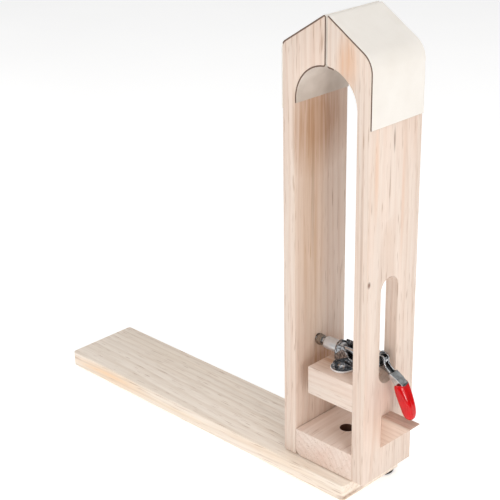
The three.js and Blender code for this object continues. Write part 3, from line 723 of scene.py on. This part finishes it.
def make_grip(red):
    """Dipped sleeve: two ridges with a valley between, a waved rim round the neck and a blunt nose."""
    box_low, box_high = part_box("grip")
    centre_y = (box_low[1] + box_high[1]) / 2
    swivel_x = middle("swivel_bolt", "Z").x
    stations = smooth_between(GRIP_PATH, 5)
    rings = []

    def ring_at(station, way, scale, rim, valley):
        x, z, deep, wide = station
        ring = []
        for k in range(GRIP_SIDES):
            angle = 2 * math.pi * k / GRIP_SIDES
            c, s = math.cos(angle), math.sin(angle)
            power = GRIP_SQUARENESS
            facets = abs(c) ** power + abs(s) ** power + (0.75 * (abs(c) + abs(s))) ** power
            u = c * facets ** (-1 / power) * deep * scale
            w = s * facets ** (-1 / power) * wide * scale
            if c > 0:
                u -= valley * deep * math.exp(-(s / VALLEY_WIDTH) ** 2)
            wave = RIM_WAVE * math.cos(2 * angle) * rim
            point = (x - way.y * u + way.x * wave, z + way.x * u + way.y * wave)
            ring.append((swivel_x + point[0] * MM, centre_y + w * MM, point[1] * MM))
        return ring

    ways = []
    for i in range(len(stations)):
        before, after = stations[max(i - 1, 0)], stations[min(i + 1, len(stations) - 1)]
        ways.append(Vector((after[0] - before[0], after[1] - before[1])).normalized())

    def moved(station, way, depth):
        return Vector((station[0] + way.x * depth, station[1] + way.y * depth, station[2], station[3]))

    for scale, depth in ((0.72, 3.0), (0.78, 0.7), (0.85, 0.05), (0.94, 0.0)):
        rings.append(ring_at(moved(stations[0], ways[0], depth), ways[0], scale, 1, VALLEY_DEPTH))
    last = len(stations) - 1
    for i, (station, way) in enumerate(zip(stations, ways)):
        rings.append(ring_at(station, way, 1, max(0.0, 1 - i / 6), VALLEY_DEPTH * (1 - i / last)))
    for scale, depth in ((0.7, 0.25), (0.3, 0.4)):
        rings.append(ring_at(moved(stations[-1], ways[-1], depth), ways[-1], scale, 0, 0))
    mesh = rings_mesh("grip", rings, angle=70)
    piece("grip_sleeve", mesh, [red], BODY_OF["grip"], "vinyl", "grip")


def make_lever(bright, shadowed, painted_neck_reflection):
    """Forked lever pressed from sheet: waisted neck with a dished top; a dark web between the rails and the
    rails' inner faces are painted shade, and the neck's top and far side are a painted dark reflection.
    """
    made = stamped_copy("lever", "lever_pressing", [bright, shadowed, painted_neck_reflection], "zinc", 0.28, 6)
    swivel_x = middle("swivel_bolt", "Z").x / MM
    centre_y = (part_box("lever")[0][1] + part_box("lever")[1][1]) / 2 / MM
    start, end = Vector(NECK_START), Vector(NECK_END)
    way = (end - start).normalized()
    length = (end - start).length
    for vertex in made.data.vertices:
        x, y, z = vertex.co.x / MM - swivel_x, vertex.co.y / MM - centre_y, vertex.co.z / MM
        t = (Vector((x, z)) - start).dot(way) / length
        if not 0 < t < NECK_TAIL:
            continue
        swell = math.sin(math.pi * min(t, 1) * 0.5)
        vertex.co.y = (centre_y + y * (1 - NECK_SLIM * swell)) * MM
        above = (Vector((x, z)) - start).dot(Vector((-way.y, way.x)))
        if above > 0:
            across = max(0.0, 1 - (y / DISH_HALF_WIDTH) ** 2)
            dish = DISH_DEPTH * math.sin(math.pi * min(t, 1)) * across
            vertex.co.x += way.y * dish * MM
            vertex.co.z -= way.x * dish * MM
    # Painted shade on the rails' inner faces near the pivot; painted dark reflection on the neck's top and
    # far side.
    for polygon in made.data.polygons:
        x, y = polygon.center.x / MM - swivel_x, abs(polygon.center.y / MM - centre_y)
        if x < NECK_START[0] + 1 and y < WEB_HALF_WIDTH and abs(polygon.normal.y) > 0.5:
            polygon.material_index = 1
        elif x > NECK_START[0] and polygon.normal.y > -0.4:
            polygon.material_index = 2

    # The web: a dark sheet put between the rails as painted shade.
    points, faces = [], []
    for x, z in WEB_PATH:
        for side in (-1, 1):
            for lift in (0, WEB_THICKNESS):
                points.append(((swivel_x + x + 0.6 * lift) * MM, (centre_y + side * WEB_HALF_WIDTH) * MM,
                               (z + 0.8 * lift) * MM))
    for i in range(len(WEB_PATH) - 1):
        a, b = 4 * i, 4 * i + 4
        faces += [(a, a + 2, b + 2, b), (a + 1, b + 1, b + 3, a + 3), (a, b, b + 1, a + 1),
                  (a + 2, a + 3, b + 3, b + 2)]
    end = 4 * len(WEB_PATH)
    faces += [(0, 1, 3, 2), (end - 4, end - 2, end - 1, end - 3)]
    mesh = mesh_of("lever_shade_sheet", points, faces, 40)
    piece("lever_shade_sheet", mesh, [shadowed], BODY_OF["lever"], "zinc")


FOOT_THICK = 1.7                 # mm above the seat that still counts as the flat foot
RIM_WIDTH = 1.1                  # mm of painted highlight round the foot
LEAF_WIDTH = 1.3                 # mm of painted highlight down the upright leaf


def make_bracket(mirror, rim):
    """Pressed frame of the clamp, with a near-white painted highlight along the edges of the sheet."""
    made = stamped_copy("clamp_frame", "clamp_frame_pressing", [mirror, rim], "zinc", 0.30, 4)
    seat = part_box("clamp_frame")[0][2]
    screw = middle("clamp_screw_front", "Z")
    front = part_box("clamp_frame")[0][1]
    leaf = [v.co.x for v in made.data.vertices if v.co.z > seat + 6 * MM and v.co.y < screw.y + 3 * MM]
    # The sheet's edges, the rim of the foot and the edge of the leaf take the near-white material as painted
    # highlight.
    for polygon in made.data.polygons:
        normal, place = polygon.normal, polygon.center
        on_foot = place.z < seat + FOOT_THICK * MM
        in_rim = (place - screw).xy.length > screw.y - front - RIM_WIDTH * MM
        near_rim = on_foot and in_rim and place.y < screw.y
        highlit_edge = normal.x < -0.5 or on_foot and abs(normal.z) < 0.55
        leaf_edge = leaf and place.z > seat + 2 * MM and place.x < min(leaf) + LEAF_WIDTH * MM
        if near_rim or highlit_edge or leaf_edge:
            polygon.material_index = 1


def make_hardware():
    bright = metal("zinc_bright", (0.60, 0.61, 0.63, 1), 0.10, 0.24)
    mirror = metal("zinc_mirror", (0.46, 0.47, 0.49, 1), 0.05, 0.12, relief=0.5, painted_reflection_amount=1.1, painted_reflection_scale=520)
    # Dark grey: the painted dark reflection on the lever's neck.
    painted_neck_reflection = metal("zinc_painted_neck_reflection", (0.27, 0.28, 0.285, 1), 0.16, 0.3, painted_reflection_amount=0.7, painted_reflection_scale=300)
    # Near-white and half metallic: the painted highlight on the bracket's edges.
    rim = metal("zinc_painted_highlight", (0.93, 0.93, 0.94, 1), 0.35, 0.45, painted_reflection_amount=0.1, metallic=0.35)
    dull = metal("zinc_dull", (0.36, 0.34, 0.31, 1), 0.18, 0.34, painted_reflection_amount=0.5)
    satin = metal("zinc_satin", (0.66, 0.68, 0.70, 1), 0.24, 0.36, "X", painted_reflection_amount=0.3, metallic=0.6)
    shadowed = metal("zinc_shadowed", (0.07, 0.075, 0.08, 1), 0.2, 0.4)
    bolt = metal("bronzed_steel", (0.20, 0.14, 0.10, 1), 0.35, 0.55)
    make_spindle(bright, dull, satin)
    make_feet(rubber())
    make_grip(vinyl())
    make_lever(bright, shadowed, painted_neck_reflection)
    make_bracket(mirror, rim)
    eased_copy("swivel_bolt", "swivel_bolt_part", bolt, "dark_bolt", 0.25 * MM)
    stood_for = {name for made in bpy.data.objects for name in made.get("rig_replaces", [])}
    for row in frame["record"]["subparts"]:
        name = row["node"]
        if row["material_slot"] == "zinc" and name not in stood_for:
            eased_copy(name, name + "_part", mirror if "pin" in name else bright, "zinc", 0.18 * MM)


# ---------- leather ----------
ROOF_TO_ARCH = 48                # mm from the top of the leather down to where painted shade starts on its inner side
SECTION_STEP = 1.6               # mm
UNEVEN_SCALE = 90                # per metre
UNEVEN_DEPTH = 0.10              # mm
CUT_ROUND = 0.22                 # mm
EDGE_BAND = 1.4                  # mm beside the back edge and the seam
CUT_HEIGHT = 8                   # mm above the lowest point where a cut end can be
CUT_AREA = 3e-6                  # square metres


def front_outline(node_name):
    """Ordered (x, z) outline of a node's front face."""
    work = bmesh.new()
    work.from_mesh(frame["nodes"][node_name].data)
    bmesh.ops.remove_doubles(work, verts=work.verts, dist=WELD_DISTANCE)
    front = min(vertex.co.y for vertex in work.verts)
    rim = {}
    for edge in work.edges:
        if all(abs(v.co.y - front) < 1e-5 for v in edge.verts):
            flat = [abs(face.normal.y) > 0.9 for face in edge.link_faces]
            if flat.count(True) == 1:
                a, b = edge.verts
                rim.setdefault(a, []).append(b)
                rim.setdefault(b, []).append(a)
    start = min(rim, key=lambda v: (v.co.z, v.co.x))
    loop, before, here = [start], None, start
    while True:
        after = next(v for v in rim[here] if v is not before)
        if after is start:
            break
        loop.append(after)
        before, here = here, after
    outline = [(v.co.x, v.co.z) for v in loop]
    work.free()
    return outline


def finer(outline, step):
    """Closed outline with its long sides divided."""
    made = []
    for (x0, z0), (x1, z1) in zip(outline, outline[1:] + outline[:1]):
        parts = max(1, round(math.dist((x0, z0), (x1, z1)) / step))
        made += [(x0 + (x1 - x0) * k / parts, z0 + (z1 - z0) * k / parts) for k in range(parts)]
    return made


def make_cover(side, face, edge, painted_shade):
    """Leather strip swept across the jaw: slightly uneven face, rounded cut edges."""
    node_name = side + "_leather"
    low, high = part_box(node_name)
    section = finer(front_outline(node_name), SECTION_STEP * MM)
    rows = 40
    rings = []
    for i in range(rows + 1):
        y = low[1] + (high[1] - low[1]) * i / rows
        ring = []
        for x, z in section:
            place = Vector((x * UNEVEN_SCALE, y * UNEVEN_SCALE, z * UNEVEN_SCALE))
            wave = noise.noise(place) * UNEVEN_DEPTH * MM
            ring.append((x, y, z + wave))
        rings.append(ring)
    strip = bpy.data.objects.new("strip", rings_mesh(node_name, rings, angle=60))
    bpy.context.collection.objects.link(strip)
    add_bevel(strip, CUT_ROUND * MM, 3, 60)
    mesh = finished(strip)
    soften(mesh, 50)
    made = piece(node_name + "_cover", mesh, [face, edge, painted_shade], "yoke" if side == "right" else "moving_jaw",
                 "leather", node_name)
    inward = 1 if side == "left" else -1
    arch_top = high[2] - ROOF_TO_ARCH * MM
    # Downward faces, faces turned into the gap below the arch top, and the cut faces beside the seam take the
    # darker leather as painted shade.
    for polygon in mesh.polygons:
        normal = polygon.normal
        cut_end = normal.z < -0.9 and polygon.center.z < low[2] + CUT_HEIGHT * MM and polygon.area < CUT_AREA
        back_edge = side == "left" and polygon.center.x < low[0] + EDGE_BAND * MM
        if abs(normal.y) > 0.6 and not back_edge or cut_end:
            polygon.material_index = 1
        elif normal.z < -0.05 or normal.x * inward > 0.3 and polygon.center.z < arch_top:
            polygon.material_index = 2
        at_seam = side == "right" and polygon.center.x < low[0] + EDGE_BAND * MM
        if at_seam and abs(normal.y) > 0.6:
            polygon.material_index = 2


def make_leather():
    face, edge = leather_face("leather_face", (232, 226, 218), (238, 233, 226)), leather_edge()
    painted_shade = leather_face("leather_painted_shade", (186, 174, 162), (212, 202, 192))
    for side in ("left", "right"):
        make_cover(side, face, edge, painted_shade)


make_camera()
make_studio()
make_wood()
make_hardware()
make_leather()
